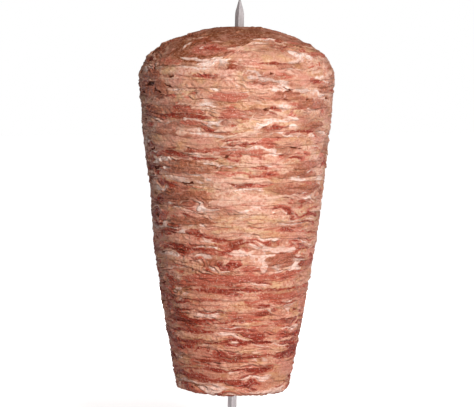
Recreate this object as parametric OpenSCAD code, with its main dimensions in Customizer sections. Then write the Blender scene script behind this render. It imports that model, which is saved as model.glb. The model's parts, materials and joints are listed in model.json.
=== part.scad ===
// Loaded vertical rotisserie spit: a pointed square bar carries a base plate, and a cone of
// stacked meat slices, mince layers and fat slices is threaded over the point on to the plate.
// Millimetres, +Z up. The origin is the centre of the bar's lower end, which is the drive end.

/* [Spit bar] */
// Width across the flats of the square bar
bar_w = 12.7; // [10:0.1:16]
// Overall length of the bar, from the drive end to the point
bar_len = 900; // [860:5:1000]
// Chamfer along the four long edges
bar_edge = 0.6; // [0.4:0.1:2]
// Length of the ground point
point_len = 27; // [20:1:40]
// Length of the shallow bevel under the point
bevel_len = 9; // [4:1:15]
// Chamfer round the drive end
drive_chamfer = 1.5; // [0.5:0.5:2.5]

/* [Base plate] */
// Height of the plate's underside above the drive end
plate_z = 161; // [150:1:180]
// Diameter of the plate
plate_d = 150; // [120:5:180]
// Thickness of the plate
plate_t = 3; // [2:0.5:5]
// Width of the square hub on the plate
hub_w = 22; // [18:1:30]
// Height of the hub above the plate
hub_h = 28; // [20:1:40]
// Gap between the bar and the plate's or hub's square hole, on each side
slide_gap = 0.15; // [0.1:0.05:0.4]

/* [Locking pin] */
// Diameter of the locking pin
pin_d = 5; // [4:0.5:6]
// Length of the pin's shank, from its nose to its collar
pin_len = 24; // [22:1:30]
// Distance between the holes for the pin
hole_pitch = 50; // [45:5:60]
// Number of holes for the pin
hole_count = 3; // [1:1:3]
// Radius of the pull ring's centre line
ring_r = 5.4; // [5:0.1:8]
// Diameter of the pull ring's wire
ring_wire = 1.6; // [1.2:0.1:2]

/* [Meat cone] */
// Height of the cone
stack_h = 683; // [640:1:700]
// Height of the shoulder, where the cone is widest
shoulder_z = 587; // [560:1:600]
// Radius at the foot
foot_r = 103.5; // [90:0.5:120]
// Radius at the shoulder
shoulder_r = 182.5; // [170:0.5:200]
// How far the side bows out between foot and shoulder, as a share of its taper
belly = 0.54; // [0:0.01:0.8]
// Rounding of the foot's lower edge
foot_round = 12; // [4:1:20]
// Number of layers under the cap slice
layer_count = 48; // [40:1:50]
// Depth of the groove between two layers at the surface
groove = 2.4; // [1:0.1:4]
// Gap between one layer and the next
layer_gap = 0.1; // [0.05:0.05:0.5]
// Thickness of the cap slice at the top
cap_t = 10; // [6:1:14]
// Radius the cap slice reaches
cap_r = 158; // [120:2:164]
// Sideways lean of the cone over its height, along X and along Y
stack_lean = [-2.4, 1.6]; // [-6:0.2:6]

/* [Hidden] */
$fn = 96;

// The layers' kinds, repeated up the cone, with each kind's share of height and its colour.
KIND_ORDER = ["mince_layer", "meat_slice", "mince_layer", "meat_slice", "fat_slice", "meat_slice"];
function kind_share(kind) = kind == "mince_layer" ? 1.35 : kind == "meat_slice" ? 1 : 0.6;
function kind_colour(kind) = kind == "mince_layer" ? "#c8906e" : kind == "meat_slice" ? "#a54a3e" : "#ecd5c0";

function layer_kind(i) = KIND_ORDER[(i - 1) % len(KIND_ORDER)];
function two_digits(i) = i < 10 ? str("0", i) : str(i);
function layer_name(i) = str(layer_kind(i), "_", two_digits(i));

// Each layer's share of the height also varies a little from its neighbours'.
function layer_share(i) = kind_share(layer_kind(i)) * (1 + 0.22 * sin(137 * i));
function shares_below(i) = i <= 1 ? 0 : layer_share(i - 1) + shares_below(i - 1);
layers_h = stack_h - cap_t;
function layer_z(i) = layers_h * shares_below(i) / shares_below(layer_count + 1);

// Outline of the cone: a bowed side up to the shoulder, then a dome.
dome_h = stack_h - shoulder_z;
function side_r(z) = let (u = z / shoulder_z)
    foot_r + (shoulder_r - foot_r) * (u + belly * u * (1 - u));
function dome_r(z, rise, reach) = reach * sqrt(max(0, 1 - pow((z - shoulder_z) / rise, 2)));
function foot_cut(z) = z < foot_round ? foot_round - sqrt(foot_round * foot_round - pow(foot_round - z, 2)) : 0;
function skin_r(z) = z < shoulder_z ? side_r(z) - foot_cut(z) : dome_r(z, dome_h, shoulder_r);

// Under the cap slice the layers follow a lower dome, which runs out just below the cap's rim.
cap_rim_t = 4;
cap_gap = 0.6;
cap_rim_h = dome_h * sqrt(1 - pow(cap_r / shoulder_r, 2));
cap_rim_z = shoulder_z + cap_rim_h;
under_h = dome_h - cap_t;
under_r = cap_r / sqrt(1 - pow((cap_rim_h - cap_rim_t) / under_h, 2));
function under_skin_r(z) = z < shoulder_z ? skin_r(z) : dome_r(z, under_h, under_r);
function layer_skin_r(z) = min(skin_r(z), under_skin_r(z));

function lean_at(z) = stack_lean * z / stack_h;

// The pin lies against the plate's underside and runs freely in its hole.
pin_clear = 0.05;
pin_z = plate_z - pin_d / 2 - pin_clear;
hole_d = pin_d + 0.16;

module chamfered_square(w, c) {
    h = w / 2;
    polygon([
        [h - c, -h], [h, c - h], [h, h - c], [h - c, h],
        [c - h, h], [-h, h - c], [-h, c - h], [c - h, -h]
    ]);
}

// A four-sided taper between two square sections.
module square_taper(w_low, w_high, h) {
    rotate(45) cylinder(h = h, r1 = w_low / sqrt(2), r2 = w_high / sqrt(2), $fn = 4);
}

module square_block(w, z, h) {
    translate([-w / 2, -w / 2, z]) cube([w, w, h]);
}

module spit_bar() {
    tip_w = 0.4;
    bevel_w = bar_w * 0.86;
    body_h = bar_len - point_len - bevel_len;
    // The tapers start wider than the bar, so that they cut its sides instead of meeting them.
    over = 2;
    wide = bar_w + 2 * over;
    bevel_start = bar_w + (bar_w - bevel_w) * over / bevel_len;
    color("#b9b9bd") difference() {
        intersection() {
            linear_extrude(height = bar_len) chamfered_square(bar_w, bar_edge);
            union() {
                square_taper(bar_w - 2 * drive_chamfer, wide, drive_chamfer + over);
                square_block(wide, drive_chamfer + over, body_h - drive_chamfer - 2 * over);
                hull() {
                    translate([0, 0, body_h - over]) square_taper(bevel_start, bevel_w, bevel_len + over);
                    translate([0, 0, body_h + bevel_len]) square_taper(bevel_w, tip_w, point_len);
                }
            }
        }
        for (k = [0 : hole_count - 1])
            translate([0, bar_w, pin_z - k * hole_pitch]) rotate([90, 0, 0])
                cylinder(h = 2 * bar_w, d = hole_d);
    }
}

module base_plate() {
    color("#a9abae") difference() {
        translate([0, 0, plate_z]) rotate_extrude() polygon([
            [0, 0], [plate_d / 2 - 0.6, 0], [plate_d / 2, 0.6],
            [plate_d / 2, plate_t - 0.6], [plate_d / 2 - 0.6, plate_t], [0, plate_t]
        ]);
        square_block(bar_w + 2 * slide_gap, plate_z - 1, plate_t + 2);
    }
}

// Square collar that keeps the plate square to the bar, with its weld bead along the foot.
module plate_hub() {
    bead = 2.5;
    z = plate_z + plate_t;
    color("#9fa1a5") difference() {
        union() {
            translate([0, 0, z]) linear_extrude(height = hub_h) chamfered_square(hub_w, 1);
            translate([0, 0, z]) square_taper(hub_w + 2 * bead, hub_w, bead);
        }
        square_block(bar_w + 2 * slide_gap, z - 1, hub_h + 2);
    }
}

// Pin with a tapered nose, a collar that stops against the bar, and an eye for the ring.
// The collar is cut flat on top, level with the shank, so that it clears the plate.
collar_t = 2;
collar_y = bar_w / 2 + 0.3;
eye_len = 8;
eye_d = ring_wire + 1.5;
eye_y = collar_y + collar_t + eye_len / 2;
module locking_pin() {
    nose = 1.2;
    nose_y = collar_y - pin_len;
    color("#c4c5c9") difference() {
        translate([0, 0, pin_z]) rotate([-90, 0, 0]) {
            translate([0, 0, nose_y]) cylinder(h = nose, r1 = pin_d / 2 - nose, r2 = pin_d / 2);
            translate([0, 0, nose_y + nose])
                cylinder(h = pin_len - nose + collar_t + eye_len, d = pin_d);
            translate([0, 0, collar_y]) intersection() {
                cylinder(h = collar_t, d = pin_d + 3);
                translate([-pin_d, -pin_d / 2, 0]) cube([2 * pin_d, 2 * pin_d, collar_t]);
            }
        }
        translate([-pin_d, eye_y, pin_z]) rotate([0, 90, 0]) cylinder(h = 2 * pin_d, d = eye_d);
    }
}

// Ring that hangs from the pin's eye. Its wire sits a little above the eye's centre line,
// because the ring curves down through the eye.
ring_rise = 0.25;
module pull_ring() {
    color("#d2d3d6") translate([0, eye_y, pin_z + ring_rise - ring_r]) rotate([90, 0, 0])
        rotate_extrude() translate([ring_r, 0]) circle(d = ring_wire);
}

// Outer edge of a layer from z0 to z1: it follows the cone and rolls in towards both faces.
edge_steps = 8;
function roll_in(t) = groove * (1 - sqrt(1 - pow(abs(2 * t - 1), 3)));
function edge_point(z0, z1, t) = let (z = z0 + (z1 - z0) * t)
    [max(layer_skin_r(z) - roll_in(t), bar_w), z];

module layer(i) {
    z0 = layer_z(i) + (i == 1 ? 0 : layer_gap / 2);
    z1 = layer_z(i + 1) - layer_gap / 2;
    lean = lean_at((z0 + z1) / 2);
    hub_room = 0.3;
    hub_top = plate_t + hub_h + hub_room;
    bead_w = hub_w + 6;
    color(kind_colour(layer_kind(i))) translate([0, 0, plate_z]) difference() {
        translate(lean) rotate_extrude() polygon(concat(
            [[0, z1], [0, z0]],
            [for (s = [0 : edge_steps]) edge_point(z0, z1, s / edge_steps)]
        ));
        square_block(bar_w + 0.3, z0 - 1, z1 - z0 + 2);
        if (z0 < hub_top) square_block(hub_w + 2 * hub_room, -1, hub_top + 1);
        if (z0 < plate_t + 3) square_block(bead_w, -1, plate_t + 4);
        if (z0 < plate_t) translate([0, 0, -1]) cylinder(h = plate_t + layer_gap + 1, d = plate_d + 0.6);
    }
}

// Slice draped over the top of the cone, thinning towards its rim.
module cap_slice() {
    steps = 14;
    inner_h = under_h + cap_gap;
    inner_r = under_r + cap_gap;
    bore = bar_w / 2 + 3;
    lip = 3;
    function at(s) = bore + (cap_r - bore) * s / steps;
    function dome_z(r, rise, reach) = shoulder_z + rise * sqrt(1 - pow(r / reach, 2));
    color("#8f4a35") translate([0, 0, plate_z]) difference() {
        translate(lean_at(cap_rim_z)) rotate_extrude() polygon(concat(
            [[0, dome_z(0, dome_h, shoulder_r)]],
            [for (s = [0 : steps]) [at(s), dome_z(at(s), dome_h, shoulder_r)]],
            [[cap_r + lip, cap_rim_z - lip]],
            [for (s = [steps : -1 : 0]) [at(s), dome_z(at(s), inner_h, inner_r)]],
            [[0, dome_z(0, inner_h, inner_r)]]
        ));
        square_block(bar_w + 0.3, cap_rim_z - 10, dome_h + 10);
    }
}

spit_bar();
base_plate();
plate_hub();
locking_pin();
pull_ring();
for (i = [1 : layer_count])
    layer(i);
cap_slice();
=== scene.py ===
"""Looks of the loaded rotisserie spit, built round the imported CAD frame.

The cone's crust is one continuous folded surface, cut into a ring for each CAD layer and a
draped cap slice. Lengths are millimetres until a mesh is made, and MM turns them into metres.
Lights, the floor and the scales of shader noise are in metres from the start. Angles are radians,
but degrees where a name ends in _DEG or a comment says so. The last number of a noise() call is
its seed, so that no two of them are alike.
"""

import json
import math

import bpy
import numpy as np
from mathutils import Matrix, Vector


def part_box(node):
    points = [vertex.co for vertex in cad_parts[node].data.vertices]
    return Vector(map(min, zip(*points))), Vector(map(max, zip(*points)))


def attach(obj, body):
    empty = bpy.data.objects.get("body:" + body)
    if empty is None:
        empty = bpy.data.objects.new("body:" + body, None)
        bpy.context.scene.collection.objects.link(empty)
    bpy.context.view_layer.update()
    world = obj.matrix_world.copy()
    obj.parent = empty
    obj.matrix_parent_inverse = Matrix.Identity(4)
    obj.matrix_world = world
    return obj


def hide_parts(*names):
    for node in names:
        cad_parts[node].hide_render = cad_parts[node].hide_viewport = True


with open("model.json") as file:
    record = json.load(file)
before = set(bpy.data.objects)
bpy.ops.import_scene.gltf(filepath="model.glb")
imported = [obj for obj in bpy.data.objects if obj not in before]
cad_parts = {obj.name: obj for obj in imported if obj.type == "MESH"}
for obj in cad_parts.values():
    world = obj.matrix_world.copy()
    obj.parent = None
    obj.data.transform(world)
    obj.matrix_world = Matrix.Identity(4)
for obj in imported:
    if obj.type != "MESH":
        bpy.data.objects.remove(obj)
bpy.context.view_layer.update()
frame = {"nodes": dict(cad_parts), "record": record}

MM = 0.001
GRID = 1.15
BODIES = frame["record"]["behaviour"]["bodies"]
LAYERS = sorted((n for n in BODIES["meat"] if n != "cap_slice"), key=lambda n: n[-2:])
SLOTS = {s["node"]: s["material_slot"] for s in frame["record"]["subparts"]}

# The camera stands level with the cone's shoulder, front left, and looks slightly down.
VIEW_DEG = -34.4
VIEW = math.radians(VIEW_DEG - 90)
EYE_DISTANCE = 4000.0
EYE_HEIGHT = 791.0
AIM_HEIGHT = 511.0
EYE_SHIFT = 2.0
ROLL_DEG = 1.1
LENS = 161.3
SENSOR = 36.0


# ---------------------------------------------------------------- noise and small helpers

_directions = np.random.default_rng(11).normal(size=(1024, 3))
GRADIENTS = _directions / np.linalg.norm(_directions, axis=1)[:, None]
CORNERS = [(i, j, k) for i in (0, 1) for j in (0, 1) for k in (0, 1)]
NOISE_GAIN = 1.7
SEED_STEP = 19.37


def noise(p, across, along, seed):
    """Gradient noise, about -1 to 1. Cells are `across` wide in X and Y and `along` high in Z."""
    q = p / np.array([across, across, along]) + seed * SEED_STEP
    cell = np.floor(q).astype(np.int64)
    part = q - cell
    fade = part * part * part * (part * (part * 6 - 15) + 10)
    total = np.zeros(len(p))
    for corner in CORNERS:
        c = cell + corner
        # Large odd numbers scatter the cells over the table of gradients.
        h = c[:, 0] * 73856093 ^ c[:, 1] * 19349663 ^ c[:, 2] * 83492791 ^ seed * 2654435761
        h = (h ^ (h >> 15)) * 1103515245 + 12345
        g = GRADIENTS[(h >> 9) & 1023]
        weight = np.prod(np.where(corner, fade, 1 - fade), axis=1)
        total += ((part - corner) * g).sum(axis=1) * weight
    return total * NOISE_GAIN


def smooth(low, high, x):
    """Goes smoothly from 0 at low to 1 at high; low may be the larger of the two."""
    t = np.clip((x - low) / (high - low), 0, 1)
    return t * t * (3 - 2 * t)


def mix(a, b, t):
    return a + (b - a) * t


def box_mm(node):
    """Lowest and highest corner of a CAD node, in millimetres."""
    low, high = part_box(node)
    return np.array(low) / MM, np.array(high) / MM


# ---------------------------------------------------------------- profile of the cone, from the CAD

plate_low, plate_high = box_mm("base_plate")
hub_low, hub_high = box_mm("plate_hub")
bar_low, bar_high = box_mm("spit_bar")
cap_low, cap_high = box_mm("cap_slice")
layer_boxes = [box_mm(n) for n in LAYERS]

# Radius of the foot's rounded edge, and the meat's clearances round the plate and the bar.
FOOT_ROUND = 13.0
PLATE_GAP = 0.3
BORE_GAP = 0.15

# The side is a smooth curve through the layers' radii, up to the lower of the two widest layers.
radii = np.array([(high[0] - low[0]) / 2 for low, high in layer_boxes])
middles = np.array([(low[2] + high[2]) / 2 for low, high in layer_boxes])
widest = int(min(np.argsort(radii)[-2:]))
FOOT_Z = plate_low[2]
SHOULDER_Z = layer_boxes[widest][1][2]
TOP_Z = cap_high[2]
side_curve = np.polyfit(middles[: widest + 1], radii[: widest + 1], 3)


def cone_outline():
    """Dense (radius, height) points from the plate's rim, round the foot, up the side, over the dome."""
    plate_r = plate_high[0] + PLATE_GAP
    foot_r = np.polyval(side_curve, FOOT_Z + FOOT_ROUND)
    turn = np.radians(np.linspace(-90, -2, 60))
    foot = np.column_stack([
        foot_r - FOOT_ROUND + FOOT_ROUND * np.cos(turn),
        FOOT_Z + FOOT_ROUND + FOOT_ROUND * np.sin(turn),
    ])
    under = np.column_stack([np.linspace(plate_r, foot_r - FOOT_ROUND, 40)[:-1], np.full(39, FOOT_Z)])
    side_z = np.linspace(FOOT_Z + FOOT_ROUND, SHOULDER_Z, 900)
    side = np.column_stack([np.polyval(side_curve, side_z), side_z])
    rise = np.radians(np.linspace(0, 90, 700))[1:]
    dome = np.column_stack([
        np.polyval(side_curve, SHOULDER_Z) * np.cos(rise),
        SHOULDER_Z + (TOP_Z - SHOULDER_Z) * np.sin(rise),
    ])
    return np.vstack([under, foot, side, dome])


OUTLINE = cone_outline()
_steps = np.diff(OUTLINE, axis=0)
ARC = np.concatenate([[0], np.cumsum(np.hypot(_steps[:, 0], _steps[:, 1]))])
_slope = np.gradient(OUTLINE, ARC, axis=0)
# Below this arc length, low on the foot's rounding, the boundaries between slices run level.
ARC_FOOT = float(ARC[np.searchsorted(OUTLINE[:, 1], FOOT_Z + FOOT_ROUND * 0.3)])
# The cone leans a little: the middle of its widest layer is off the bar's axis.
LEAN_TOP = (layer_boxes[widest][0] + layer_boxes[widest][1])[:2] / 2
LEAN_TOP_Z = middles[widest]


def arc_at_height(z):
    """Arc length along the outline at a height."""
    rising = OUTLINE[:, 1] > FOOT_Z
    return float(np.interp(z, OUTLINE[rising, 1], ARC[rising]))


def skin_point(arc, angle, out=0.0):
    """Point on the cone's skin at an arc length and angle, moved `out` along the skin's normal."""
    r = np.interp(arc, ARC, OUTLINE[:, 0])
    z = np.interp(arc, ARC, OUTLINE[:, 1])
    along_r = np.interp(arc, ARC, _slope[:, 0])
    along_z = np.interp(arc, ARC, _slope[:, 1])
    r = np.maximum(r + out * along_z, bar_high[0])
    z = z - out * along_r
    lean = (z - FOOT_Z) / (LEAN_TOP_Z - FOOT_Z)
    return np.column_stack([
        r * np.cos(angle) + LEAN_TOP[0] * lean,
        r * np.sin(angle) + LEAN_TOP[1] * lean,
        z,
    ])


# ---------------------------------------------------------------- folds of the meat

# Thickness of the bed's leaves at the foot and at the top, and each kind's leaning towards red.
LEAF_FOOT = 5.0
LEAF_TOP = 7.2
KIND_BIAS = {"minced_meat": -0.05, "lean_meat": 0.13, "fat": -0.2, "browned_meat": 0.1}

# What one leaf or scrap of each look does to the crust's masks, and how far it stands out.
LOOKS = {
    "tan": {"pale": 0.25, "relief": 1.5},
    "pale": {"pale": 0.95, "relief": 1.3},
    "red": {"lean": 0.9, "deep": 0.35, "relief": 0.5},
    "deep": {"lean": 1.0, "deep": 1.0, "relief": -0.7},
    "fat": {"fat": 0.75, "pale": 0.6, "relief": 0.8},
    "white": {"fat": 1.0, "white": 0.9, "relief": 1.0},
    "brown": {"lean": 0.55, "brown": 0.75, "relief": 1.6},
    # A gap is a sunken hole; its crease share paints shade into it, on top of its deep red and brown.
    "gap": {"lean": 0.8, "deep": 1.0, "brown": 0.8, "crease_shade": 1.2, "relief": -2.8},
}
TINTS = ("lean", "deep", "fat", "white", "brown", "pale")
# The crease mask is no tint of the meat: it marks where painted shade darkens cuts, creases, gaps and
# grooves.
MASKS = TINTS + ("crease_shade", "raw")

# Leaves on the side that faces the camera: look, degrees to the right of the viewer's line, height
# above the foot, length, thickness, slope in degrees, and bow, which is how far the ends droop.
FRONT_LEAVES = [
    ("red", -19, 639, 90, 26, 0, 2),
    ("fat", -39, 659, 34, 3, 8, 3),
    ("white", -41, 646, 26, 5, 80, 3),
    ("white", -25, 641, 12, 6, 20, 0),
    ("deep", -16, 641, 50, 12, 0, 0),
    ("fat", -17, 653, 20, 4, 0, 0),
    ("white", -24, 621, 88, 7, 0, -7),
    ("red", -47, 616, 60, 16, 0, 0),
    ("fat", -1, 641, 30, 8, 8, 0),
    ("fat", 11, 651, 27, 6, 35, 0),
    ("white", 24, 659, 44, 5, 0, 3),
    ("fat", 37, 652, 30, 5, -25, 0),
    ("deep", 34, 648, 30, 6, -15, 2),
    ("red", 54, 655, 40, 10, -10, 0),
    ("fat", 66, 646, 50, 4, -8, 2),
    ("red", 64, 632, 70, 13, -6, 0),
    ("fat", 55, 609, 80, 5, 6, 3),
    # Gaps down the left flank: hollows whose painted shade darkens the side turned from the key light.
    ("gap", -70, 618, 34, 10, 20, 0),
    ("gap", -57, 599, 16, 9, -30, 0),
    ("gap", -64, 640, 14, 5, 30, 0),
    ("gap", -78, 596, 16, 10, 0, 0),
    ("gap", -80, 560, 14, 12, 0, 0),
    ("gap", -76, 540, 20, 5, 0, 0),
    ("gap", -77, 470, 14, 8, 0, 0),
    ("gap", -74, 395, 16, 9, 20, 0),
    ("gap", -78, 352, 12, 8, 0, 0),
    ("gap", -70, 292, 18, 7, -30, 0),
    ("gap", -74, 236, 14, 8, 30, 0),
    ("gap", -68, 205, 18, 6, 0, 0),
    ("gap", -76, 168, 12, 8, 0, 0),
    ("tan", 15, 628, 150, 26, 0, 3),
    ("pale", -35, 598, 118, 15, 0, 2),
    ("pale", -6, 597, 60, 13, 0, 2),
    ("fat", -62, 588, 56, 7, -12, 0),
    # Brown leaves and gaps at the left shoulder: partly browned meat and partly painted shade on the side
    # turned from the key light.
    ("brown", -60, 590, 70, 16, 0, 0),
    ("brown", -59, 564, 100, 32, 2, 0),
    ("gap", -62, 575, 42, 11, 14, 3),
    ("gap", -71, 560, 32, 12, 0, 0),
    ("gap", -53, 562, 26, 8, -20, 0),
    ("gap", -41, 587, 17, 5, 0, 0),
    ("tan", -20, 577, 130, 16, 1, 2),
    ("deep", 21, 616, 66, 4, 0, 1),
    ("fat", 5, 611, 46, 4, -3, 0),
    ("deep", -18, 590, 48, 7, 0, -4),
    ("gap", 20, 595, 15, 5, 0, 0),
    ("gap", 14, 590, 20, 4, 4, 0),
    ("deep", 52, 586, 36, 8, 0, 0),
    ("fat", 66, 596, 60, 4, 14, 4),
    ("fat", 68, 560, 56, 4, -12, -5),
    ("gap", 31, 565, 26, 6, 8, 2),
    ("gap", 28, 552, 16, 6, -14, 0),
    ("white", 26, 575, 14, 6, 10, 0),
    ("brown", 31, 558, 66, 17, 0, 0),
    ("red", 38, 541, 50, 9, -5, 0),
    ("fat", 14, 566, 40, 6, -6, 2),
    ("fat", 8, 574, 26, 12, -20, 0),
    ("red", -5, 556, 66, 22, 0, 0),
    ("tan", 2, 566, 85, 8, 0, 2),
    ("brown", 44, 548, 42, 17, 0, 0),
    ("gap", 46, 552, 16, 5, 20, 0),
    ("white", 29, 540, 20, 9, -10, 3),
    ("gap", 17, 532, 20, 6, -12, 0),
    ("brown", 62, 572, 60, 18, 4, 0),
    ("brown", 58, 540, 70, 12, -3, 2),
    ("tan", 60, 520, 80, 12, 0, 2),
    ("brown", 55, 505, 70, 10, 0, 0),
    ("brown", 50, 430, 80, 14, 3, 0),
    ("brown", 44, 413, 97, 11, 0, 2),
    ("deep", 23, 530, 26, 13, 0, 0),
    ("fat", -23, 531, 76, 5, 0, 8),
    ("red", -2, 521, 64, 15, 0, 3),
    ("fat", 9, 517, 24, 4, 62, 3),
    ("fat", 26, 524, 52, 4, -18, 2),
    ("deep", -33, 518, 158, 7, -1, 1),
    ("red", -27, 528, 60, 10, -6, 0),
    ("pale", 4, 500, 44, 12, 8, 2),
    ("fat", 8, 488, 40, 5, 10, 3),
    ("gap", -72, 508, 30, 9, 0, 0),
    ("tan", -38, 475, 176, 34, -2, 3),
    ("brown", -41, 485, 96, 8, -3, 3),
    ("brown", -60, 524, 64, 20, 0, 0),
    ("red", 10, 455, 68, 9, 3, 2),
    ("red", -17, 457, 50, 8, 2, 0),
    ("red", -27, 506, 64, 9, 0, 0),
    ("fat", -34, 486, 26, 8, 4, 0),
    ("gap", -62, 455, 40, 5, 10, 2),
    ("brown", -37, 430, 110, 15, 0, 3),
    ("red", -52, 447, 44, 9, 0, 0),
    ("deep", -36, 446, 88, 9, -8, 2),
    ("fat", -17, 449, 40, 4, 0, 2),
    ("deep", -17, 443, 34, 7, 0, 0),
    ("fat", -2, 483, 66, 4, 16, 5),
    ("fat", 0, 472, 64, 4, 10, 6),
    ("fat", 3, 461, 50, 4, 4, 4),
    ("pale", 17, 437, 150, 15, 1, 3),
    ("tan", 45, 475, 130, 17, 2, 0),
    ("deep", 42, 492, 84, 10, 6, 0),
    ("brown", -32, 419, 100, 15, 0, 4),
    ("gap", -60, 418, 26, 6, 10, 0),
    ("fat", 4, 402, 104, 14, 1, 2),
    ("pale", -8, 391, 54, 9, 0, 1),
    ("brown", 57, 392, 64, 12, 0, 0),
    ("brown", -36, 371, 120, 30, 0, 4),
    ("fat", 74, 345, 70, 8, 0, 0),
    ("pale", 0, 325, 74, 16, 0, 2),
    ("gap", -66, 372, 18, 6, -20, 0),
    ("fat", 0, 367, 90, 14, 5, 2),
    ("brown", 43, 388, 120, 16, 0, 2),
    ("fat", 35, 375, 86, 5, 5, 2),
    ("pale", 21, 337, 92, 30, 2, 2),
    ("gap", -66, 330, 22, 9, 0, 0),
    ("brown", -32, 326, 88, 14, 0, 0),
    ("deep", -30, 306, 34, 6, 0, 0),
    ("pale", 6, 310, 130, 12, 0, 2),
    ("pale", -4, 299, 64, 9, 0, 1),
    # Partly pale meat and partly a painted highlight on the far right edge, where the rim and side lights
    # strike.
    ("pale", 76, 310, 64, 14, 0, 0),
    ("deep", -15, 296, 66, 10, -7, 0),
    ("tan", -33, 286, 100, 10, -2, 2),
    ("deep", -35, 275, 92, 8, -4, -2),
    ("red", -20, 268, 46, 7, -8, 0),
    ("pale", 1, 262, 40, 8, 0, 0),
    ("brown", -21, 246, 44, 14, 20, 0),
    ("tan", 50, 300, 150, 11, -2, 2),
    ("fat", -6, 252, 22, 8, 50, 0),
    ("red", -2, 241, 14, 9, 60, 0),
    ("fat", -12, 240, 24, 6, -50, 2),
    ("white", 5, 270, 42, 10, 0, 0),
    ("white", 33, 276, 80, 11, -3, 0),
    ("brown", 36, 255, 70, 24, 0, 2),
    ("white", 22, 243, 16, 13, 40, 0),
    ("pale", -38, 248, 88, 14, -12, 4),
    ("gap", -62, 262, 20, 6, 12, 0),
    ("red", -15, 222, 142, 13, 2, 0),
    ("red", 18, 222, 190, 11, 5, 2),
    ("red", -36, 208, 121, 9, 2, 0),
    ("pale", 37, 208, 70, 20, 3, 3),
    ("tan", -16, 186, 144, 13, 0, 3),
    ("red", 39, 188, 150, 12, -2, 0),
    ("deep", 8, 200, 270, 5, 1, 2),
    ("pale", 9, 187, 50, 8, 0, 0),
    ("red", -22, 180, 60, 8, 0, 1),
    ("deep", -24, 170, 46, 6, 2, 0),
    ("tan", 66, 168, 80, 16, 0, 0),
    ("pale", 62, 150, 60, 10, 0, 2),
    ("deep", 19, 171, 55, 6, 0, 0),
    ("pale", -15, 167, 168, 15, 0, 3),
    ("deep", -37, 140, 142, 7, 0, 1),
    ("pale", 11, 137, 94, 7, 0, 1),
    ("pale", 32, 148, 64, 9, 0, 0),
    ("pale", -30, 111, 122, 14, 2, 3),
    ("deep", -40, 120, 122, 7, 0, 0),
    ("deep", -24, 99, 190, 5, 1, 1),
    ("deep", 22, 102, 72, 8, 0, 0),
    ("tan", -37, 77, 80, 14, 0, 0),
    ("pale", 43, 85, 54, 13, 0, 0),
    ("pale", 5, 89, 76, 12, 2, 2),
    ("deep", 1, 78, 102, 8, 0, 1),
    ("pale", -4, 52, 52, 12, 3, 2),
    ("deep", -46, 36, 92, 12, -4, 0),
    ("deep", -4, 49, 170, 6, 0, 1),
    ("pale", 9, 61, 150, 7, 0, 2),
    ("tan", -68, 54, 60, 10, 0, 0),
    ("deep", 25, 50, 64, 8, 2, -2),
    ("tan", 58, 45, 76, 40, 0, 0),
    ("fat", 47, 103, 84, 5, 0, -5),
    ("deep", -20, 26, 60, 6, 4, 0),
    ("white", 36, 7, 84, 6, 0, 0),
]

# Leaves for the rest of the cone: mean length and thickness of each look, and its share of them.
SPREAD_SIZES = {
    "tan": (110, 17), "pale": (95, 15), "red": (120, 10), "deep": (75, 7),
    "fat": (60, 4.5), "white": (44, 8), "brown": (90, 17), "gap": (34, 6),
}
SPREAD_SHARES = [0.18, 0.15, 0.14, 0.18, 0.14, 0.04, 0.09, 0.08]
SPREAD_COUNT = 420
# The front has its own leaves within this many degrees, so only scraps of this area are added there.
FRONT_HALF_DEG = 68
SCRAP_AREA = 300


def random_leaves():
    """Leaves for the rest of the cone, in the same form as those at the front."""
    rng = np.random.default_rng(5)
    looks = rng.choice(list(SPREAD_SIZES), size=SPREAD_COUNT, p=SPREAD_SHARES)
    leaves = []
    for look in looks:
        length, thick = np.array(SPREAD_SIZES[look]) * rng.uniform(0.55, 1.35, 2)
        height = (TOP_Z - FOOT_Z) * 0.96 * math.sqrt(rng.uniform(0, 1))
        right = rng.uniform(-180, 180)
        slope, bow = rng.normal(0, 5), rng.normal(1, 3)
        if abs(right) > FRONT_HALF_DEG or length * thick < SCRAP_AREA:
            leaves.append((str(look), right, height, length, thick, slope, bow))
    return leaves


def placed(leaves):
    """Turns leaves into numbers the crust can use: arc length on the skin, and angles about Z."""
    return [
        (look, VIEW + math.radians(right), arc_at_height(FOOT_Z + height), length / 2, thick / 2,
         math.radians(slope), bow)
        for look, right, height, length, thick, slope, bow in leaves
    ]


LEAVES = placed(random_leaves()) + placed(FRONT_LEAVES)

# Knots: spots where the leaves close into rings, as a folded end does: degrees to the right of the
# viewer, height above the foot, half width, half height, and how many leaves the ring holds.
FRONT_KNOTS = [
    (-7, 246, 34, 17, 4.0), (-31, 372, 40, 15, -2.2), (12, 520, 40, 16, 2.6), (60, 570, 30, 20, 2.4),
]


def all_knots():
    """The front's knots and random ones for the rest, as angle, arc length, half sizes and leaves."""
    rng = np.random.default_rng(8)
    spread = [
        (rng.uniform(70, 290), rng.uniform(60, 590), rng.uniform(22, 45), rng.uniform(10, 18),
         rng.uniform(1.8, 3.6) * rng.choice([-1, 1]))
        for _ in range(22)
    ]
    return [
        (VIEW + math.radians(right), arc_at_height(FOOT_Z + height), wide, high, leaves)
        for right, height, wide, high, leaves in FRONT_KNOTS + spread
    ]


KNOTS = all_knots()


def turn_between(angle, centre):
    """Signed angle from centre to angle, between minus and plus half a turn."""
    return (angle - centre + math.pi) % (2 * math.pi) - math.pi


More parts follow.
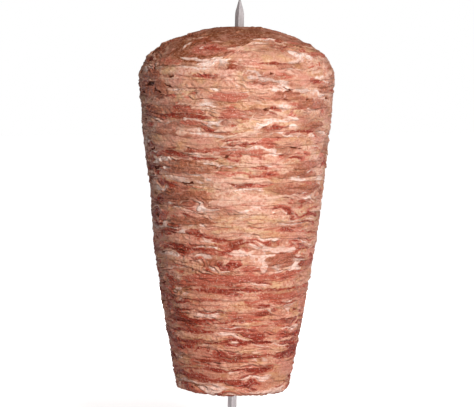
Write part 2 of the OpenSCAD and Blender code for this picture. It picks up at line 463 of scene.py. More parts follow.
def fold_phase(p, arc, angle):
    """Which leaf a point lies in, as a whole number, and how far up that leaf it is, 0 to 1."""
    grow = (LEAF_TOP - LEAF_FOOT) / (TOP_Z - FOOT_Z)
    thick = LEAF_FOOT + grow * np.clip(p[:, 2] - FOOT_Z, 0, None)
    level = (
        np.log(thick / LEAF_FOOT) / grow
        + 2.4 * noise(p, 130, 60, 1)
        + 2.5 * noise(p, 54, 20, 2)
        + 1.05 * noise(p, 21, 10, 3)
        + 0.18 * noise(p, 8, 5, 17)
    )
    radius = np.hypot(p[:, 0], p[:, 1])
    for centre, knot_arc, wide, high, leaves in KNOTS:
        across = turn_between(angle, centre) * radius / wide
        level += leaves * np.exp(-(across**2) - ((arc - knot_arc) / high) ** 2)
    leaf = np.floor(level)
    return leaf, level - leaf


def leaf_noise(p, leaf, across, seed):
    """Noise that runs on along a leaf and has nothing to do with the leaf above or below."""
    q = p.copy()
    q[:, 2] = leaf * 1.618 * across
    return noise(q, across, across, seed)


def strata(p, arc, angle, kind):
    """The bed of thin wavy leaves: its height over the smooth cone and its masks."""
    leaf, phase = fold_phase(p, arc, angle)
    neighbour = leaf + np.where(phase < 0.5, -1, 1)
    edge = np.minimum(phase, 1 - phase)
    shared = 0.5 * (1 - smooth(0, 0.25, edge))

    def on_leaf(across, seed):
        """Noise of a point's own leaf, blended with its neighbour's near the edge between them."""
        here = leaf_noise(p, leaf, across, seed)
        return mix(here, leaf_noise(p, neighbour, across, seed), shared)

    up = (p[:, 2] - FOOT_Z) / (TOP_Z - FOOT_Z)
    # Busy stretches are much folded and mixed; the others are calm, even mince.
    busy = smooth(-0.30, 0.10, noise(p, 85, 30, 16) + 0.35 * noise(p, 24, 10, 18) + 0.3 * (0.5 - up))
    marble = noise(p, 15, 5, 19)
    streak = noise(p, 24, 2.8, 6)
    patch = noise(p, 64, 18, 27)
    # Above zero a point is lean meat, far below zero it is fat, and between them it is mince.
    choice = mix(1.9, 1.2, up) * on_leaf(70, 5) + 0.45 * patch + 0.13 * marble + 0.14 * streak
    choice = mix(0.45, 1, busy) * choice + KIND_BIAS[kind] + 0.5 * (0.45 - up) - 0.12 * (1 - busy)
    # A leaf bulges above its lower edge. Cuts part some leaves, strings of fat run through them, and
    # some have a rim of fat.
    bulge = smooth(0, 0.28, phase) * (1 - 0.7 * smooth(0.35, 1.0, phase))
    cut = smooth(0.05, 0.5, noise(p, 30, 12, 7)) * np.exp(-((edge / 0.19) ** 2)) * mix(0.1, 1, busy)
    string = np.exp(-((noise(p, 46, 13, 11) / 0.08) ** 2)) * smooth(-0.05, 0.35, noise(p, 26, 14, 14))
    rim = np.exp(-(((phase - 0.14) / 0.14) ** 2)) * smooth(0.0, 0.35, on_leaf(34, 10)) * busy
    height = (
        1.8 * noise(p, 110, 60, 9)
        + 1.7 * on_leaf(44, 4) * mix(0.3, 1, busy)
        + 2.4 * (bulge - 0.5) * mix(0.2, 1, busy)
        + 0.9 * noise(p, 16, 9, 8)
        + 0.75 * noise(p, 10, 6, 23)
        + 0.55 * noise(p, 5.5, 4, 24)
        + 1.0 * string
        - 1.5 * cut
    )
    lean = smooth(0.02, 0.26, choice)
    return height, {
        "lean": lean,
        "deep": smooth(0.30, 0.62, choice),
        "fat": np.maximum.reduce([smooth(0.42, 0.58, -choice), 0.7 * rim, 0.75 * string]),
        "white": smooth(0.50, 0.72, -choice + 0.2 * marble),
        "brown": 0.7 * smooth(0.0, 0.42, noise(p, 60, 20, 12) + 0.3 * noise(p, 20, 8, 13)) * mix(0.4, 1, up),
        "pale": np.clip(smooth(-0.15, 0.4, noise(p, 60, 24, 15)) + 0.5 * marble, 0, 1) * (1 - lean),
        # Painted shade along the cuts and in small random dents.
        "crease_shade": np.clip(0.55 * cut + 0.12 * smooth(0.2, 0.5, -noise(p, 9, 5, 26)), 0, 1),
        "raw": np.clip(smooth(0.62, 0.22, up) + 0.4 * patch * smooth(0.9, 0.5, up), 0, 1),
    }


# How far a leaf's outline wanders: its ends, its middle line and its edges, and how far round the
# leaf points are looked for.
END_DRIFT = 9
SWAY = 3.2
FRAY = 1.6
MARGIN = 8
# A leaf shorter than twice this wanders less at its ends.
SHORT_HALF = 20
# Depth of the crease under a leaf, and how wide it is.
UNDERCUT = 1.1
UNDERCUT_WIDTH = 1.4


def points_near(leaf, p, arc, angle):
    """Indices of the points that a leaf may touch, and how far round the cone each is from it."""
    _, centre, leaf_arc, half_length, half_thick, slope, bow = leaf
    reach = half_thick + abs(math.sin(slope)) * half_length + abs(bow) + MARGIN
    index = np.nonzero(np.abs(arc - leaf_arc) < reach)[0]
    radius = np.hypot(p[index, 0], p[index, 1])
    across = turn_between(angle[index], centre) * radius
    inside = np.abs(across) < half_length * 1.15 + 10
    return index[inside], across[inside]


def lay_leaf(leaf, p, arc, angle, warps, height, masks):
    """Lays one leaf or scrap over the bed, changing height and masks where it lies."""
    index, across = points_near(leaf, p, arc, angle)
    if not len(index):
        return
    look, _, leaf_arc, half_length, half_thick, slope, bow = leaf
    settings = LOOKS[look]
    drift, sway, fray, patchy, streaky = (warp[index] for warp in warps)
    rise, run = math.sin(slope), math.cos(slope)
    up = arc[index] - leaf_arc
    end_drift = END_DRIFT * min(1, half_length / SHORT_HALF)
    # Along is -1 to 1 from end to end of the leaf, and level is -1 to 1 from its lower to upper edge.
    along = (across * run + up * rise + end_drift * drift) / half_length
    over = up * run - across * rise + bow * (along**2 - 0.3) + SWAY * sway
    uneven = np.clip(1 + 0.45 * patchy, 0.4, 1.5)
    local = half_thick * np.clip(1 - along**2, 0.02, 1) ** 0.45 * uneven
    level = (over + FRAY * fray) / local
    if look == "gap":
        cover = smooth(1.0, 0.45, np.hypot(1.4 * level, along) + 1.1 * fray)
        streaks = 0
    else:
        cover = smooth(1.3, 0.8, np.maximum(np.abs(level), np.abs(along)) + 0.15 * fray)
        streaks = 0.45 * streaky
    tint = cover * np.clip(0.92 + 0.35 * patchy + streaks, 0, 1)
    for key in TINTS:
        masks[key][index] = np.clip(mix(masks[key][index], settings.get(key, 0.0), tint), 0, 1)
    stand = settings["relief"] * cover * (1 - 0.25 * np.clip(level + 1, 0, 2))
    # A broken crease runs under the leaf's lower edge; it is dented and darkened with painted shade.
    under = np.exp(-(((level + 1.15) * local / UNDERCUT_WIDTH) ** 2)) * smooth(1.0, 0.6, np.abs(along))
    under *= smooth(-0.5, 0.4, drift)
    height[index] = mix(height[index], 0.8 * height[index], cover) + stand - UNDERCUT * under
    hole = settings.get("crease_shade", 0.0) * cover
    crease_shade = np.maximum(masks["crease_shade"][index] * (1 - 0.6 * cover), np.maximum(0.55 * under, hole))
    masks["crease_shade"][index] = np.clip(crease_shade, 0, 1)


# Swells and dents of the whole cone: degrees to the right of the viewer, height above the foot, half
# width, half height, and how far the skin stands out there.
SWELLS = [
    (-88, 385, 90, 50, -4.5),
    (80, 625, 90, 28, 3.0),
    (-90, 667, 70, 32, -4.5),
    (70, 680, 40, 16, 1.5),
]


def swell(p, arc, angle):
    """How far the cone's swells and dents move its skin out at points p."""
    radius = np.hypot(p[:, 0], p[:, 1])
    total = np.zeros(len(p))
    for right, height, wide, high, out in SWELLS:
        across = turn_between(angle, VIEW + math.radians(right)) * radius / wide
        total += out * np.exp(-(across**2) - ((arc - arc_at_height(FOOT_Z + height)) / high) ** 2)
    return total


def lay_leaves(p, arc, angle, height, masks):
    """Lays every leaf over the bed at points p, and adds the cone's swells and dents."""
    drift = noise(p, 30, 12, 40)
    sway = noise(p, 30, 14, 41)
    fray = noise(p, 8, 5, 42)
    patchy = noise(p, 22, 7, 43)
    streaky = noise(p, 26, 3.2, 44)
    for leaf in LEAVES:
        lay_leaf(leaf, p, arc, angle, (drift, sway, fray, patchy, streaky), height, masks)
    return height + swell(p, arc, angle), masks


def inner_masks(p):
    """Masks of a slice's hidden faces: evenly cut meat."""
    value = smooth(-0.3, 0.5, noise(p, 40, 20, 50))
    masks = {key: np.zeros(len(p)) for key in MASKS}
    masks["lean"] = value
    return masks


# ---------------------------------------------------------------- mesh building

def band_faces(lower, upper, n, m):
    """Faces between a ring of n points and the next of m, which has as many, half or twice as many.
    Lower and upper are the rings' first point numbers. Returns quads and triangles."""
    i = np.arange(min(n, m))
    j = (i + 1) % min(n, m)
    if n == m:
        return [np.column_stack([lower + i, lower + j, upper + j, upper + i])], []
    if n > m:
        wide, narrow = lower + 2 * i, upper + i
        after = lower + 2 * j
        return [], [
            np.column_stack([wide, wide + 1, narrow]),
            np.column_stack([wide + 1, upper + j, narrow]),
            np.column_stack([wide + 1, after, upper + j]),
        ]
    narrow, wide = lower + i, upper + 2 * i
    after = upper + 2 * j
    return [], [
        np.column_stack([narrow, wide + 1, wide]),
        np.column_stack([narrow, lower + j, wide + 1]),
        np.column_stack([lower + j, after, wide + 1]),
    ]


def make_mesh(name, rows, attributes):
    """A closed mesh from rings of points. The last ring joins the first."""
    counts = [len(row) for row in rows]
    starts = np.concatenate([[0], np.cumsum(counts)])
    quads = [np.zeros((0, 4), int)]
    tris = [np.zeros((0, 3), int)]
    for a in range(len(rows)):
        b = (a + 1) % len(rows)
        more_quads, more_tris = band_faces(starts[a], starts[b], counts[a], counts[b])
        quads += more_quads
        tris += more_tris
    quads = np.vstack(quads)
    tris = np.vstack(tris)
    mesh = bpy.data.meshes.new(name)
    points = np.vstack(rows) * MM
    mesh.vertices.add(len(points))
    mesh.vertices.foreach_set("co", points.astype(np.float32).ravel())
    loops = np.concatenate([quads.ravel(), tris.ravel()])
    mesh.loops.add(len(loops))
    mesh.loops.foreach_set("vertex_index", loops.astype(np.int32))
    sizes = np.concatenate([np.full(len(quads), 4), np.full(len(tris), 3)])
    mesh.polygons.add(len(sizes))
    mesh.polygons.foreach_set("loop_start", (np.cumsum(sizes) - sizes).astype(np.int32))
    mesh.polygons.foreach_set("use_smooth", np.ones(len(sizes), bool))
    mesh.update(calc_edges=True)
    for key, values in attributes.items():
        layer = mesh.attributes.new(key, "FLOAT", "POINT")
        layer.data.foreach_set("value", values.astype(np.float32))
    mesh.validate()
    piece = bpy.data.objects.new(name, mesh)
    bpy.context.scene.collection.objects.link(piece)
    return piece


def wear(piece, kind, node):
    """Gives a crust its material and slot, puts it on the meat's body and hides its CAD node."""
    piece.data.materials.append(MEAT[kind])
    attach(piece, "meat")
    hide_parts(node)


def angles(count):
    """Evenly spaced angles once round."""
    return np.arange(count) * 2 * math.pi / count


def square_ring(count, half, z):
    """Ring of points round a square hole of the bar."""
    a = angles(count)
    r = half / np.maximum(np.abs(np.cos(a)), np.abs(np.sin(a)))
    return np.column_stack([r * np.cos(a), r * np.sin(a), np.full(count, z)])


def inward_rows(edge, half, z):
    """Rows that close a slice's hidden face, from its outer edge in to its square hole, halving
    their points on the way."""
    rows = []
    ring = edge
    for share in (0.03, 0.08, 0.18, 0.36, 0.62):
        ring = ring[::2]
        goal = square_ring(len(ring), half, z)
        rows.append(mix(edge[:: len(edge) // len(ring)], goal, share))
    count = len(ring) // 2
    rows.append(square_ring(count, half, z))
    return rows


# ---------------------------------------------------------------- slices

# A ring's point count is a multiple of this, so that it can be halved six times.
COLUMN_STEP = 64
# Half the gap between two slices.
LAYER_GAP = 0.05
# How deep the slices lie sunk under the cap slice.
UNDER_CAP = 10.5


def columns_for(radius):
    """How many points a ring of that radius gets."""
    return COLUMN_STEP * max(4, round(2 * math.pi * radius / GRID / COLUMN_STEP))


def ring_points(arc, count):
    """Points of the smooth cone on a level ring, for sampling a wave along it."""
    return skin_point(np.full(count, arc), angles(count))


def wave(arc, count):
    """How far a boundary between two slices wanders up or down along the skin."""
    p = ring_points(arc, count)
    calm = smooth(0, 25, arc - ARC_FOOT)
    return calm * (7.0 * noise(p, 130, 60, 20) + 3.0 * noise(p, 42, 26, 21) + 0.8 * noise(p, 16, 16, 28))


def boundary_groove(arc, count):
    """Depth of the crease between two slices."""
    p = ring_points(arc, count)
    return 0.4 + 1.5 * smooth(0.1, 0.8, noise(p, 34, 7, 22))


# The rim of the cap slice: degrees to the right of the viewer and height above the foot. It droops
# at the front left and is folded back right of the middle.
CAP_RIM = [
    (-180, 634), (-110, 626), (-75, 611), (-50, 607), (-25, 609), (-8, 620), (2, 641), (12, 652),
    (26, 660), (38, 652), (55, 640), (75, 626), (110, 630), (180, 634),
]

# Fewest points of a ring of the cap slice, and how many outer rings each hidden ring stands for.
CAP_FEWEST = 26
CAP_UNDER_STEP = 12


def seen_at(a):
    """Degrees to the right of the viewer's line for angles about Z."""
    return np.degrees(turn_between(a, VIEW))


def cap_rim(a):
    """Arc length of the cap slice's rim at each angle."""
    turns = [turn for turn, _ in CAP_RIM]
    arcs = [arc_at_height(FOOT_Z + height) for _, height in CAP_RIM]
    rim = np.interp(seen_at(a), turns, arcs)
    p = skin_point(rim, a)
    return rim + 3.5 * noise(p, 45, 45, 30) + 1.5 * noise(p, 14, 14, 31)


def cap_fat(a):
    """How white the rim of the cap slice is at each angle: mostly round the back."""
    p = skin_point(np.full(len(a), ARC[-1] * 0.8), a)
    turned = smooth(60, 110, np.abs(seen_at(a)))
    return (0.3 + 0.7 * turned) * smooth(-0.1, 0.4, noise(p, 60, 60, 32))


def cap_brown(p, a):
    """How browned the cap slice is: most at the bar and on the left, less on the right."""
    reach = np.hypot(p[:, 0], p[:, 1])
    right = seen_at(a)
    away = smooth(25, 60, right) * smooth(150, 95, right) * smooth(60, 110, reach)
    patchy = 0.6 * noise(p, 34, 34, 33) + 0.5 * noise(p, 12, 12, 34)
    return np.clip(0.9 - 0.6 * away + patchy, 0, 1)


def slice_limits(index):
    """Arc lengths of a slice's lower and upper boundary: midway between neighbouring CAD layers."""
    low, high = layer_boxes[index]
    arc_low = 0.0
    if index > 0:
        arc_low = arc_at_height((low[2] + layer_boxes[index - 1][1][2]) / 2)
    next_z = high[2]
    if index + 1 < len(LAYERS):
        next_z = layer_boxes[index + 1][0][2]
    return arc_low, arc_at_height((high[2] + next_z) / 2)


def slice_wall(index):
    """A slice's outer face as rows of points from its lower to its upper edge, and its masks."""
    kind = SLOTS[LAYERS[index]]
    arc_low, arc_high = slice_limits(index)
    count = columns_for(radii[index])
    a = angles(count)
    bottom = wave(arc_low, count) + arc_low + (LAYER_GAP if index else 0)
    top = wave(arc_high, count) + arc_high - LAYER_GAP
    row_count = max(5, int(math.ceil((arc_high - arc_low) / GRID)) + 1)
    arc_rows = mix(bottom, top, np.linspace(0, 1, row_count)[:, None])
    arc = arc_rows.ravel()
    angle = np.broadcast_to(a, arc_rows.shape).ravel()
    base = skin_point(arc, angle)
    height, masks = strata(base, arc, angle, kind)
    height, masks = lay_leaves(base, arc, angle, height, masks)

    # Grooves run along both boundaries, and the wall sinks where the cap slice lies over it.
    groove_low = boundary_groove(arc_low, count) if index else np.zeros(count)
    low_depth = np.tile(groove_low, row_count)
    high_depth = np.tile(boundary_groove(arc_high, count), row_count)
    from_low = (arc_rows - bottom).ravel()
    from_high = (top - arc_rows).ravel()
    pull = low_depth * np.exp(-((from_low / (0.9 + 0.28 * low_depth)) ** 2))
    pull = np.maximum(pull, high_depth * np.exp(-((from_high / (0.7 + 0.22 * high_depth)) ** 2)))
    under_cap = smooth(-1, 5, arc - np.tile(cap_rim(a), row_count))
    calm = smooth(0, 6, arc) if index == 0 else 1
    out = (height - pull) * calm * (1 - under_cap) - UNDER_CAP * under_cap
    # Painted shade darkens the grooves along the slice boundaries.
    masks["crease_shade"] = np.maximum(masks["crease_shade"], smooth(0.6, 4, pull))
    return skin_point(arc, angle, out).reshape(row_count, count, 3), masks


def slice_piece(index):
    """The crust of one layer: its outer face, closed by hidden faces that end at a square hole."""
    name = LAYERS[index]
    low, high = layer_boxes[index]
    wall, masks = slice_wall(index)
    half = bar_high[0] + BORE_GAP
    if low[2] < hub_high[2]:
        half = hub_high[0] + PLATE_GAP
    top_rows = inward_rows(wall[-1], half, high[2])
    if index == 0:
        # The lowest slice rests on the plate and hangs round its rim.
        bottom_z = plate_high[2] + PLATE_GAP
        rim = wall[0] + np.array([0, 0, bottom_z - FOOT_Z])
        bottom_rows = inward_rows(rim, half, bottom_z)[::-1] + [rim]
    else:
        bottom_rows = inward_rows(wall[0], half, low[2])[::-1]
    hidden_masks = inner_masks(np.vstack(top_rows + bottom_rows))
    attributes = {key: np.concatenate([masks[key], hidden_masks[key]]) for key in MASKS}
    piece = make_mesh(name + "_crust", list(wall) + top_rows + bottom_rows, attributes)
    wear(piece, SLOTS[name], name)


def cap_row(arc, from_rim, end):
    """One ring of the cap slice's outer face, from its arc lengths, and the ring's masks."""
    a = angles(len(arc))
    base = skin_point(arc, a)
    height, masks = strata(base, arc, a, "browned_meat")
    # The slice is lifted a little near its rim, and the rim's edge turns in, with fat along it.
    lip = 0.9 * smooth(18, 0, from_rim)
    edge = 3.2 * np.exp(-((from_rim / 1.4) ** 2))
    near_bar = smooth(0, 30, end - arc)
    whole = smooth(2, 7, from_rim) * cap_brown(base, a)
    rim_fat = cap_fat(a) * np.exp(-(((from_rim - 2.0) / 2.2) ** 2))
    masks["fat"] = np.maximum(masks["fat"] * (1 - 0.85 * whole), rim_fat)
    masks["white"] = np.maximum(masks["white"] * (1 - whole), rim_fat)
    masks["pale"] *= 1 - 0.8 * whole
    masks["brown"] = np.maximum(masks["brown"], whole)
    masks["raw"] *= 0
    height, masks = lay_leaves(base, arc, a, 0.8 * height, masks)
    return skin_point(arc, a, height * near_bar + lip - edge), masks


def cap_skin(rim, end, row_count):
    """Rings of the cap slice's outer face from its rim to the bar, and the masks of each."""
    rows = []
    masks = []
    lowest = rim.min()
    for k in range(row_count + 1):
        share = k / row_count
        radius = np.interp(mix(lowest, end, share), ARC, OUTLINE[:, 0])
        count = len(rim)
        while count > 2 * math.pi * radius / GRID * 1.5 and count % 2 == 0 and count > CAP_FEWEST:
            count //= 2
            rim = rim[::2]
        arc = mix(rim, end, share)
        row, row_masks = cap_row(arc, arc - rim, end)
        rows.append(row)
        masks.append(row_masks)
    return rows, masks


def cap_underside(rim, end, outer):
    """Rings of the cap slice's hidden face, from the bar back out to its rim."""
    rows = []
    last = len(outer) - 1
    for source in range(last, -1, -CAP_UNDER_STEP):
        count = len(outer[source])
        while rows and count > 2 * len(rows[-1]):
            count //= 2
        edge = rim[:: len(rim) // count]
        arc = mix(edge, end, source / last)
        depth = mix(3.5, 9.0, smooth(0, 20, arc - edge))
        rows.append(skin_point(arc, angles(count), -depth))
    while len(rows[-1]) < len(rim):
        count = len(rows[-1]) * 2
        arc = rim[:: len(rim) // count] + 3.0
        rows.append(skin_point(arc, angles(count), np.full(count, -3.6)))
    return rows


def cap_piece():
    """The slice draped over the top: a thin leaf whose rim lies on the slices below."""
    rim = cap_rim(angles(columns_for(cap_high[0])))
    end = ARC[-1] - bar_high[0] - 1.5
    outer, outer_masks = cap_skin(rim, end, int((end - rim.min()) / GRID))
    inner = cap_underside(rim, end, outer)
    hidden_masks = inner_masks(np.vstack(inner))
    attributes = {
        key: np.concatenate([masks[key] for masks in outer_masks] + [hidden_masks[key]]) for key in MASKS
    }
    piece = make_mesh("cap_slice_crust", outer + inner, attributes)
    wear(piece, "browned_meat", "cap_slice")


# ---------------------------------------------------------------- materials

# Places of the colour sockets on a mix node.
MIX_A, MIX_B, MIX_RESULT = 6, 7, 2


class Nodes:
    """Small helper that adds and links shader nodes of one material."""

    def __init__(self, name):
        self.material = bpy.data.materials.new(name)
        self.material.use_nodes = True
        self.tree = self.material.node_tree
        self.tree.nodes.clear()

    def add(self, kind, inputs=None, **settings):
        """Adds a node; inputs are values or the outputs of other nodes."""
        node = self.tree.nodes.new(kind)
        for key, value in settings.items():
            setattr(node, key, value)
        for key, value in (inputs or {}).items():
            self.put(node.inputs[key], value)
        return node

    def put(self, socket, value):
        if isinstance(value, bpy.types.NodeSocket):
            self.tree.links.new(value, socket)
        else:
            socket.default_value = value

    def attribute(self, name):
        return self.add("ShaderNodeAttribute", attribute_name=name).outputs["Fac"]

    def math(self, operation, a, b=0.0):
        node = self.add("ShaderNodeMath", operation=operation)
        self.put(node.inputs[0], a)
        self.put(node.inputs[1], b)
        return node.outputs[0]

    def mix(self, share, a, b, blend="MIX"):
        node = self.add("ShaderNodeMix", data_type="RGBA", blend_type=blend)
        self.put(node.inputs[0], share)
        self.put(node.inputs[MIX_A], a)
        self.put(node.inputs[MIX_B], b)
        return node.outputs[MIX_RESULT]

    def noise(self, scale, detail=3.0, stretch=(1, 1, 1), roughness=0.55):
        place = self.add("ShaderNodeTexCoord").outputs["Object"]
        moved = self.add("ShaderNodeMapping", {"Vector": place, "Scale": stretch})
        node = self.add(
            "ShaderNodeTexNoise",
            {"Vector": moved.outputs[0], "Scale": scale, "Detail": detail, "Roughness": roughness},
        )
        return node.outputs["Fac"]

    def ramp(self, value, low, high):
        """Goes smoothly from 0 at low to 1 at high; low may be the larger of the two."""
        node = self.add("ShaderNodeMapRange", {"Value": value, "From Min": low, "From Max": high})
        node.interpolation_type = "SMOOTHSTEP"
        return node.outputs[0]

    def scaled(self, value, factor):
        return self.math("MULTIPLY", value, factor)

    def finish(self, shader):
        self.add("ShaderNodeOutputMaterial", {"Surface": shader.outputs[0]})
        return self.material


def rgb(r, g, b):
    return (r, g, b, 1.0)


# Colours of the meat, and tints that multiply them.
TAN = rgb(0.57, 0.275, 0.183)
TAN_PALE = rgb(0.675, 0.415, 0.30)
TAN_DEEP = rgb(0.45, 0.175, 0.105)
RED = rgb(0.42, 0.088, 0.050)
RED_PINK = rgb(0.55, 0.185, 0.125)
RED_DEEP = rgb(0.24, 0.024, 0.012)
FAT_CREAM = rgb(0.73, 0.495, 0.38)
FAT_PINK = rgb(0.70, 0.375, 0.285)
FAT_WHITE = rgb(0.82, 0.66, 0.59)
BROWN = rgb(0.215, 0.056, 0.020)
# The next two colours are painted shade: what dents, creases, grooves and gaps are darkened to.
CREVICE_SHADE = rgb(0.19, 0.036, 0.012)
HOLE_SHADE = rgb(0.09, 0.024, 0.009)
YELLOW_TINT = rgb(0.97, 1.02, 0.84)
PINK_TINT = rgb(1.02, 0.94, 1.02)
RAW_TINT = rgb(0.95, 0.79, 0.74)


def mince_colour(m, mask, lump):
    """Minced meat: mottled tan, paler in blotches, drifting a little to yellow and to pink."""
    grain = m.noise(420, 3.0)
    blotch = m.noise(60, 4.0, stretch=(1, 1, 1.6))
    hue = m.noise(24, 3.0, stretch=(1, 1, 2))
    colour = m.mix(m.ramp(lump, 0.24, 0.52), TAN_DEEP, TAN)
    colour = m.mix(m.scaled(m.ramp(grain, 0.5, 0.34), 0.45), colour, TAN_DEEP)
    paled = m.math("MAXIMUM", mask["pale"], m.scaled(m.ramp(blotch, 0.5, 0.72), 0.6))
    colour = m.mix(m.scaled(paled, m.ramp(lump, 0.38, 0.55)), colour, TAN_PALE)
    colour = m.mix(m.ramp(hue, 0.50, 0.64), colour, YELLOW_TINT, "MULTIPLY")
    return m.mix(m.ramp(hue, 0.50, 0.36), colour, PINK_TINT, "MULTIPLY")


def lean_colour(m, mask, lump, fibre):
    """Lean meat: fibrous red, darker where it is deep, with pink flecks."""
    red = m.mix(m.ramp(fibre, 0.38, 0.62), RED, RED_PINK)
    deep = m.mix(m.ramp(fibre, 0.42, 0.72), RED_DEEP, RED)
    colour = m.mix(mask["deep"], red, deep)
    return m.mix(m.scaled(m.ramp(lump, 0.58, 0.70), 0.45), colour, FAT_PINK)


def fat_colour(m, mask, lump):
    """Fat: pink to cream, and white in places."""
    cream = m.mix(m.ramp(lump, 0.38, 0.6), FAT_PINK, FAT_CREAM)
    return m.mix(m.scaled(mask["white"], m.ramp(lump, 0.3, 0.55)), cream, FAT_WHITE)


def weathered(m, mask, lump, colour, brown_share):
    """Browns the dried parts, adds flecks of fat, and paints shade into the bump's dents and into creases
    and gaps.
    """
    browned = m.scaled(mask["brown"], brown_share)
    browned = m.scaled(browned, m.math("ADD", m.ramp(lump, 0.36, 0.58), 0.3))
    colour = m.mix(browned, colour, BROWN)
    # Painted shade in the dents of the lump bump, strongest on browned parts.
    pit_shade = m.scaled(m.ramp(lump, 0.40, 0.30), m.math("ADD", mask["brown"], 0.08))
    colour = m.mix(m.scaled(pit_shade, 0.8), colour, CREVICE_SHADE)
    flecks = m.ramp(m.noise(310, 2.0), 0.58, 0.68)
    fleck_share = m.math("SUBTRACT", 0.48, m.scaled(mask["brown"], 0.28))
    colour = m.mix(m.scaled(flecks, fleck_share), colour, FAT_CREAM)
    # Painted shade in creases and grooves, near black in the deepest of them and in gaps.
    colour = m.mix(m.scaled(mask["crease_shade"], 0.85), colour, CREVICE_SHADE)
    return m.mix(m.ramp(mask["crease_shade"], 0.65, 1.1), colour, HOLE_SHADE)


def meat_material(name, brown_share, coat, dryness=0.2):
    """Raw stacked meat: mince, lean, fat and browned skin, chosen by the crust's masks."""
    m = Nodes(name)
    mask = {key: m.attribute(key) for key in MASKS}
    lump = m.noise(200, 4.0, roughness=0.6)
    fibre = m.noise(150, 5.0, stretch=(1, 1, 3.5), roughness=0.65)
    speck = m.noise(700, 2.0)
    colour = m.mix(mask["lean"], mince_colour(m, mask, lump), lean_colour(m, mask, lump, fibre))
    colour = m.mix(mask["fat"], colour, fat_colour(m, mask, lump))
    colour = m.mix(mask["raw"], colour, RAW_TINT, "MULTIPLY")
    colour = weathered(m, mask, lump, colour, brown_share)
    lumpy = m.add("ShaderNodeBump", {"Height": lump, "Strength": 0.6, "Distance": 0.0024})
    bump = m.add(
        "ShaderNodeBump",
        {"Height": fibre, "Strength": 0.45, "Distance": 0.0018, "Normal": lumpy.outputs[0]},
    )
    dull = m.math("ADD", m.scaled(mask["crease_shade"], 0.4), dryness)
    shader = m.add("ShaderNodeBsdfPrincipled", {
        "Base Color": colour,
        "Roughness": m.math("ADD", m.scaled(speck, 0.5), dull),
        "Normal": bump.outputs[0],
        "Specular IOR Level": 0.16,
        "Coat Weight": coat,
        "Coat Roughness": 0.14,
    })
    return m.finish(shader)


MEAT = {
    "minced_meat": meat_material("minced_meat", 0.75, 0.13),
    "lean_meat": meat_material("lean_meat", 0.75, 0.15),
    "fat": meat_material("fat", 0.6, 0.13),
    "browned_meat": meat_material("browned_meat", 0.9, 0.02, dryness=0.36),
}


STEEL_METALLIC = 0.85
CLOUD_GREY = rgb(0.34, 0.31, 0.31)
# Heights in metres between which the bar's colour darkens, as painted shade, and its finish turns rougher
# and less metallic.
DULL_AND_SHADE_FROM, DULL_AND_SHADE_ABOVE = 0.35, 0.75
# Painted shade: the tint that darkens the bar's upper part.
TOP_SHADE_TINT = rgb(0.62, 0.62, 0.62)


def steel_material(name, base, roughness, stretch, dull_and_shade_top=False):
    """Drawn or brushed steel: fine streaks along one direction and faint cloudy marks."""
    m = Nodes(name)
    streak = m.noise(900, 4.0, stretch=stretch)
    cloud = m.noise(35, 3.0)
    dark = rgb(*(c * 0.72 for c in base))
    colour = m.mix(m.ramp(streak, 0.35, 0.65), dark, rgb(*base))
    colour = m.mix(m.scaled(m.ramp(cloud, 0.5, 0.75), 0.35), colour, CLOUD_GREY)
    metallic = STEEL_METALLIC
    rough = m.math("ADD", m.scaled(streak, 0.2), roughness - 0.1)
    if dull_and_shade_top:
        # The upper part of the bar, most of all its ground point, is darkened as painted shade that tones
        # down the key light's mirror highlight, and made rougher and less metallic.
        place = m.add("ShaderNodeTexCoord").outputs["Object"]
        height = m.add("ShaderNodeSeparateXYZ", {0: place}).outputs["Z"]
        dull_and_shade = m.ramp(height, DULL_AND_SHADE_FROM, DULL_AND_SHADE_ABOVE)
        colour = m.mix(dull_and_shade, colour, TOP_SHADE_TINT, "MULTIPLY")
        metallic = m.math("SUBTRACT", STEEL_METALLIC, m.scaled(dull_and_shade, 0.5))
        rough = m.math("ADD", rough, m.scaled(dull_and_shade, 0.36))
    bump = m.add("ShaderNodeBump", {"Height": streak, "Strength": 0.12, "Distance": 0.0003})
    shader = m.add("ShaderNodeBsdfPrincipled", {
        "Base Color": colour,
        "Metallic": metallic,
        "Roughness": rough,
        "Normal": bump.outputs[0],
    })
    return m.finish(shader)


def dress_hardware():
    """Gives the CAD's steel pieces their finishes, with streaks along each piece's length."""
    looks = {
        "spit_bar": steel_material(
            "drawn_bar_steel", (0.88, 0.845, 0.87), 0.42, (1, 1, 0.05), dull_and_shade_top=True
        ),
        "base_plate": steel_material("plate_steel", (0.60, 0.60, 0.61), 0.36, (1, 0.05, 1)),
        "plate_hub": steel_material("hub_steel", (0.58, 0.58, 0.59), 0.40, (1, 1, 0.1)),
        "locking_pin": steel_material("pin_steel", (0.66, 0.66, 0.68), 0.26, (1, 0.1, 1)),
        "pull_ring": steel_material("ring_steel", (0.70, 0.70, 0.72), 0.22, (1, 1, 1)),
    }
    for node, material in looks.items():
        piece = frame["nodes"][node]
        piece.data.materials.clear()
        piece.data.materials.append(material)


# ---------------------------------------------------------------- stage, light and camera

def direction(azimuth_deg, elevation_deg=0.0):
    """Unit vector from the object towards a viewer at that azimuth and elevation."""
    a, e = math.radians(azimuth_deg), math.radians(elevation_deg)
    return np.array([math.sin(a) * math.cos(e), -math.cos(a) * math.cos(e), math.sin(e)])


def point_at(obj, target, roll_deg=0.0):
    """Turns a light or camera towards a place, and rolls it about its own line of sight."""
    aim = Vector(target) - obj.location
    turn = aim.to_track_quat("-Z", "Y").to_matrix().to_4x4()
    obj.rotation_euler = (turn @ Matrix.Rotation(math.radians(roll_deg), 4, "Z")).to_euler()


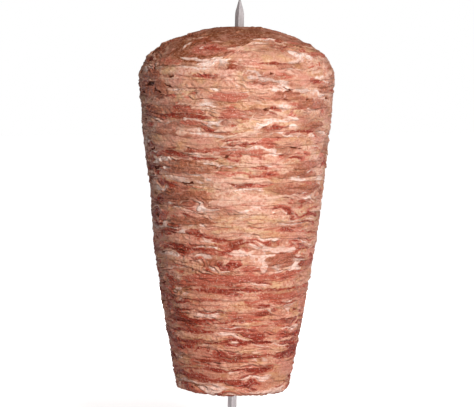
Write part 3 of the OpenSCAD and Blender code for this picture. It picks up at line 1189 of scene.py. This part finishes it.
def area_light(name, azimuth_deg, elevation_deg, distance, size, power, colour, mirrored=True):
    """A soft light in metres and watts, aimed at the cone. Without mirrored, nothing glossy shows it."""
    data = bpy.data.lights.new(name, "AREA")
    data.shape = "RECTANGLE"
    data.size, data.size_y = size
    data.energy = power
    data.color = colour
    light = bpy.data.objects.new(name, data)
    target = np.array([0, 0, AIM_HEIGHT * MM])
    light.location = target + direction(azimuth_deg, elevation_deg) * distance
    light.visible_glossy = mirrored
    bpy.context.scene.collection.objects.link(light)
    point_at(light, target)


FLOOR_HALF = 14.0
FLOOR_GREY = rgb(0.78, 0.77, 0.77)
WORLD_LIGHT = rgb(0.115, 0.092, 0.086)
WHITE = rgb(1, 1, 1)


def add_floor():
    """A pale floor. It glows a little for the camera only, so that it fades out into white."""
    mesh = bpy.data.meshes.new("floor")
    h = FLOOR_HALF
    mesh.from_pydata([(-h, -h, 0), (h, -h, 0), (h, h, 0), (-h, h, 0)], [], [(0, 1, 2, 3)])
    piece = bpy.data.objects.new("floor", mesh)
    bpy.context.scene.collection.objects.link(piece)
    m = Nodes("pale_floor")
    seen = m.add("ShaderNodeLightPath").outputs["Is Camera Ray"]
    place = m.add("ShaderNodeTexCoord").outputs["Object"]
    reach = m.add("ShaderNodeVectorMath", {0: place}, operation="LENGTH").outputs["Value"]
    lift = m.math("ADD", m.scaled(m.ramp(reach, 0.2, 1.6), 0.35), 0.65)
    dull = m.add("ShaderNodeBsdfDiffuse", {"Color": FLOOR_GREY})
    glow = m.add("ShaderNodeEmission", {"Color": WHITE, "Strength": m.scaled(seen, lift)})
    both = m.add("ShaderNodeAddShader", {0: dull.outputs[0], 1: glow.outputs[0]})
    mesh.materials.append(m.finish(both))


def add_world():
    """A dim warm studio that looks white to the camera."""
    world = bpy.data.worlds.new("studio")
    world.use_nodes = True
    tree = world.node_tree
    path = tree.nodes.new("ShaderNodeLightPath")
    light = tree.nodes.new("ShaderNodeMix")
    light.data_type = "RGBA"
    light.inputs[MIX_A].default_value = WORLD_LIGHT
    light.inputs[MIX_B].default_value = WHITE
    tree.links.new(path.outputs["Is Camera Ray"], light.inputs[0])
    tree.links.new(light.outputs[MIX_RESULT], tree.nodes["Background"].inputs["Color"])
    bpy.context.scene.world = world


def add_lights():
    """A key light just right of the camera, a side light, two rim lights and one behind."""
    area_light("key", VIEW_DEG + 17, 28, 3.4, (0.8, 0.9), 126, (1.0, 0.965, 0.94))
    area_light("side", VIEW_DEG + 80, -6, 3.2, (0.8, 0.6), 13, (1.0, 0.96, 0.97))
    area_light("rim_left", VIEW_DEG - 125, -8, 3.0, (0.8, 1.2), 8, (0.92, 0.90, 1.0))
    area_light("rim_right", VIEW_DEG + 118, 2, 3.0, (0.6, 0.8), 10, (0.94, 0.90, 1.0))
    area_light("back", VIEW_DEG + 180, -4, 3.2, (2.4, 1.0), 75, (1.0, 0.97, 0.95), mirrored=False)


def add_camera():
    data = bpy.data.cameras.new("camera")
    data.lens = LENS
    data.sensor_width = SENSOR
    piece = bpy.data.objects.new("camera", data)
    away = direction(VIEW_DEG) * EYE_DISTANCE
    shift = direction(VIEW_DEG + 90) * EYE_SHIFT
    piece.location = (away + shift + [0, 0, EYE_HEIGHT]) * MM
    bpy.context.scene.collection.objects.link(piece)
    point_at(piece, (shift + [0, 0, AIM_HEIGHT]) * MM, ROLL_DEG)
    bpy.context.scene.camera = piece


# ---------------------------------------------------------------- build

for index in range(len(LAYERS)):
    slice_piece(index)
cap_piece()
dress_hardware()
add_floor()
add_world()
add_lights()
add_camera()
bpy.context.scene.view_settings.view_transform = "Standard"
